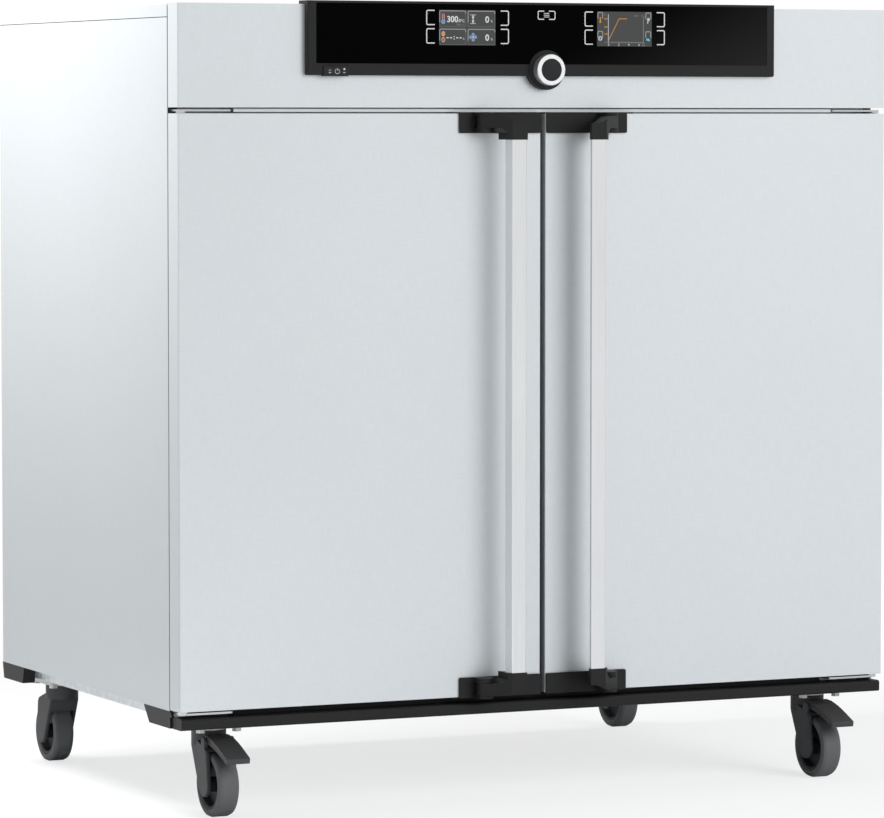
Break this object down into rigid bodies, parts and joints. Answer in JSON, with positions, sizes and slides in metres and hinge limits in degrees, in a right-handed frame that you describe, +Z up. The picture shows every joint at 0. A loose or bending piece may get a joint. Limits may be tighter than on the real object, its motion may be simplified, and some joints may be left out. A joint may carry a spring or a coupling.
{
  "type": "laboratory oven",
  "caption": "Free-standing stainless laboratory oven with an insulated chamber, paired hinged doors with lever handles, a control panel with screens and a knob, on braked swivel casters.",
  "frame": {"origin": "middle of the standing box, on the floor under the casters", "axes": "+X to the right seen from the front, +Y from the doors to the rear, +Z up"},
  "size_m": [1.224, 0.877, 1.247],
  "materials": {
    "stainless_steel": "finely textured stainless steel",
    "galvanised_steel": "galvanised sheet",
    "chamber_steel": "ground stainless steel",
    "mineral_wool": "pressed mineral wool",
    "heater_steel": "heat-tinted steel",
    "hinge_steel": "satin",
    "black_plastic": "fine moulded grain",
    "zinc_plate": "bright zinc plate",
    "black_glass": "polished black",
    "screen": "lit colour screen",
    "board_case": "moulded",
    "motor_casting": "cast and painted",
    "probe_steel": "polished",
    "seal_rubber": "matt",
    "bar_aluminium": "satin anodised",
    "knob_metal": "turned and polished",
    "button_plastic": "satin",
    "fan_steel": "pressed sheet",
    "shelf_steel": "electropolished wire",
    "fork_plastic": "glass-filled, fine grain",
    "hub_plastic": "moulded",
    "wheel_tyre": "grey rubber"
  },
  "bodies": {
    "cabinet": {"left_side_panel": "stainless_steel", "right_side_panel": "stainless_steel", "top_cover": "stainless_steel", "rear_panel": "galvanised_steel", "floor_pan": "galvanised_steel", "control_fascia": "stainless_steel", "front_frame": "stainless_steel", "chamber_liner": "chamber_steel", "air_baffle": "chamber_steel", "cabinet_insulation": "mineral_wool", "heating_elements": "heater_steel", "hinge_brackets": "hinge_steel", "door_catches": "black_plastic", "base_trim": "black_plastic", "base_frame": "galvanised_steel", "caster_plates": "zinc_plate", "cockpit_frame": "black_plastic", "cockpit_glass": "black_glass", "displays": "screen", "electronics_module": "board_case", "fan_motor": "motor_casting", "exhaust_tube": "chamber_steel", "flap_actuator": "black_plastic", "temperature_probes": "probe_steel", "mains_inlet": "black_plastic"},
    "left_door": {"left_door_skin": "stainless_steel", "left_door_liner": "chamber_steel", "left_door_insulation": "mineral_wool", "left_door_gasket": "seal_rubber", "left_handle_mounts": "black_plastic"},
    "right_door": {"right_door_skin": "stainless_steel", "right_door_liner": "chamber_steel", "right_door_insulation": "mineral_wool", "right_door_gasket": "seal_rubber", "right_handle_mounts": "black_plastic"},
    "left_handle": {"left_handle_bar": "bar_aluminium", "left_handle_arms": "black_plastic"},
    "right_handle": {"right_handle_bar": "bar_aluminium", "right_handle_arms": "black_plastic"},
    "knob": {"control_knob": "knob_metal"},
    "knob_push": {"knob_button": "button_plastic"},
    "switch": {"mains_switch": "button_plastic"},
    "fan": {"fan_wheel": "fan_steel"},
    "flap": {"air_flap": "chamber_steel"},
    "lower_rack": {"lower_shelf": "shelf_steel"},
    "upper_rack": {"upper_shelf": "shelf_steel"},
    "front_left_caster": {"front_left_fork": "fork_plastic"},
    "front_left_roller": {"front_left_wheel": "hub_plastic", "front_left_tyre": "wheel_tyre"},
    "front_left_pedal": {"front_left_brake_pedal": "fork_plastic"},
    "front_right_caster": {"front_right_fork": "fork_plastic"},
    "front_right_roller": {"front_right_wheel": "hub_plastic", "front_right_tyre": "wheel_tyre"},
    "front_right_pedal": {"front_right_brake_pedal": "fork_plastic"},
    "rear_left_caster": {"rear_left_fork": "fork_plastic"},
    "rear_left_roller": {"rear_left_wheel": "hub_plastic", "rear_left_tyre": "wheel_tyre"},
    "rear_right_caster": {"rear_right_fork": "fork_plastic"},
    "rear_right_roller": {"rear_right_wheel": "hub_plastic", "rear_right_tyre": "wheel_tyre"}
  },
  "joints": [
    {"name": "left_door_hinge", "type": "hinge", "parent": "cabinet", "child": "left_door", "pos_m": [-0.601, -0.3655, 0.62275], "axis": [0, 0, -1], "range_deg": [0, 170]},
    {"name": "right_door_hinge", "type": "hinge", "parent": "cabinet", "child": "right_door", "pos_m": [0.601, -0.3655, 0.62275], "axis": [0, 0, 1], "range_deg": [0, 170]},
    {"name": "left_handle_swing", "type": "hinge", "parent": "left_door", "child": "left_handle", "pos_m": [-0.108, -0.397, 0.62275], "axis": [0, 0, -1], "range_deg": [0, 45]},
    {"name": "right_handle_swing", "type": "hinge", "parent": "right_door", "child": "right_handle", "pos_m": [0.108, -0.397, 0.62275], "axis": [0, 0, 1], "range_deg": [0, 45]},
    {"name": "knob_turn", "type": "hinge", "parent": "cabinet", "child": "knob", "pos_m": [0, -0.4095, 1.143], "axis": [0, 1, 0], "continuous": true},
    {"name": "knob_press", "type": "slide", "parent": "knob", "child": "knob_push", "axis": [0, 1, 0], "range_m": [0, 0.0012], "stiffness_N_per_m": 500},
    {"name": "mains_switch_press", "type": "slide", "parent": "cabinet", "child": "switch", "axis": [0, 1, 0], "range_m": [0, 0.0015], "stiffness_N_per_m": 600},
    {"name": "fan_spin", "type": "hinge", "parent": "cabinet", "child": "fan", "pos_m": [0, 0.2665, 0.622], "axis": [0, 1, 0], "continuous": true},
    {"name": "air_flap_turn", "type": "hinge", "parent": "cabinet", "child": "flap", "pos_m": [0.38, 0.354, 0.93], "axis": [1, 0, 0], "range_deg": [0, 90]},
    {"name": "lower_shelf_slide", "type": "slide", "parent": "cabinet", "child": "lower_rack", "axis": [0, -1, 0], "range_m": [0, 0.01]},
    {"name": "upper_shelf_slide", "type": "slide", "parent": "cabinet", "child": "upper_rack", "axis": [0, -1, 0], "range_m": [0, 0.01]},
    {"name": "front_left_swivel", "type": "hinge", "parent": "cabinet", "child": "front_left_caster", "pos_m": [-0.527, -0.2875, 0.05], "axis": [0, 0, 1], "continuous": true},
    {"name": "front_left_wheel_spin", "type": "hinge", "parent": "front_left_caster", "child": "front_left_roller", "pos_m": [-0.527, -0.3235, 0.05], "axis": [1, 0, 0], "continuous": true},
    {"name": "front_left_brake_press", "type": "hinge", "parent": "front_left_caster", "child": "front_left_pedal", "pos_m": [-0.527, -0.3235, 0.116], "axis": [1, 0, 0], "range_deg": [0, 10]},
    {"name": "front_right_swivel", "type": "hinge", "parent": "cabinet", "child": "front_right_caster", "pos_m": [0.527, -0.2875, 0.05], "axis": [0, 0, 1], "continuous": true},
    {"name": "front_right_wheel_spin", "type": "hinge", "parent": "front_right_caster", "child": "front_right_roller", "pos_m": [0.527, -0.3235, 0.05], "axis": [1, 0, 0], "continuous": true},
    {"name": "front_right_brake_press", "type": "hinge", "parent": "front_right_caster", "child": "front_right_pedal", "pos_m": [0.527, -0.3235, 0.116], "axis": [1, 0, 0], "range_deg": [0, 10]},
    {"name": "rear_left_swivel", "type": "hinge", "parent": "cabinet", "child": "rear_left_caster", "pos_m": [-0.527, 0.3525, 0.05], "axis": [0, 0, 1], "continuous": true},
    {"name": "rear_left_wheel_spin", "type": "hinge", "parent": "rear_left_caster", "child": "rear_left_roller", "pos_m": [-0.527, 0.3885, 0.05], "axis": [1, 0, 0], "continuous": true},
    {"name": "rear_right_swivel", "type": "hinge", "parent": "cabinet", "child": "rear_right_caster", "pos_m": [0.527, 0.3525, 0.05], "axis": [0, 0, 1], "continuous": true},
    {"name": "rear_right_wheel_spin", "type": "hinge", "parent": "rear_right_caster", "child": "rear_right_roller", "pos_m": [0.527, 0.3885, 0.05], "axis": [1, 0, 0], "continuous": true}
  ]
}
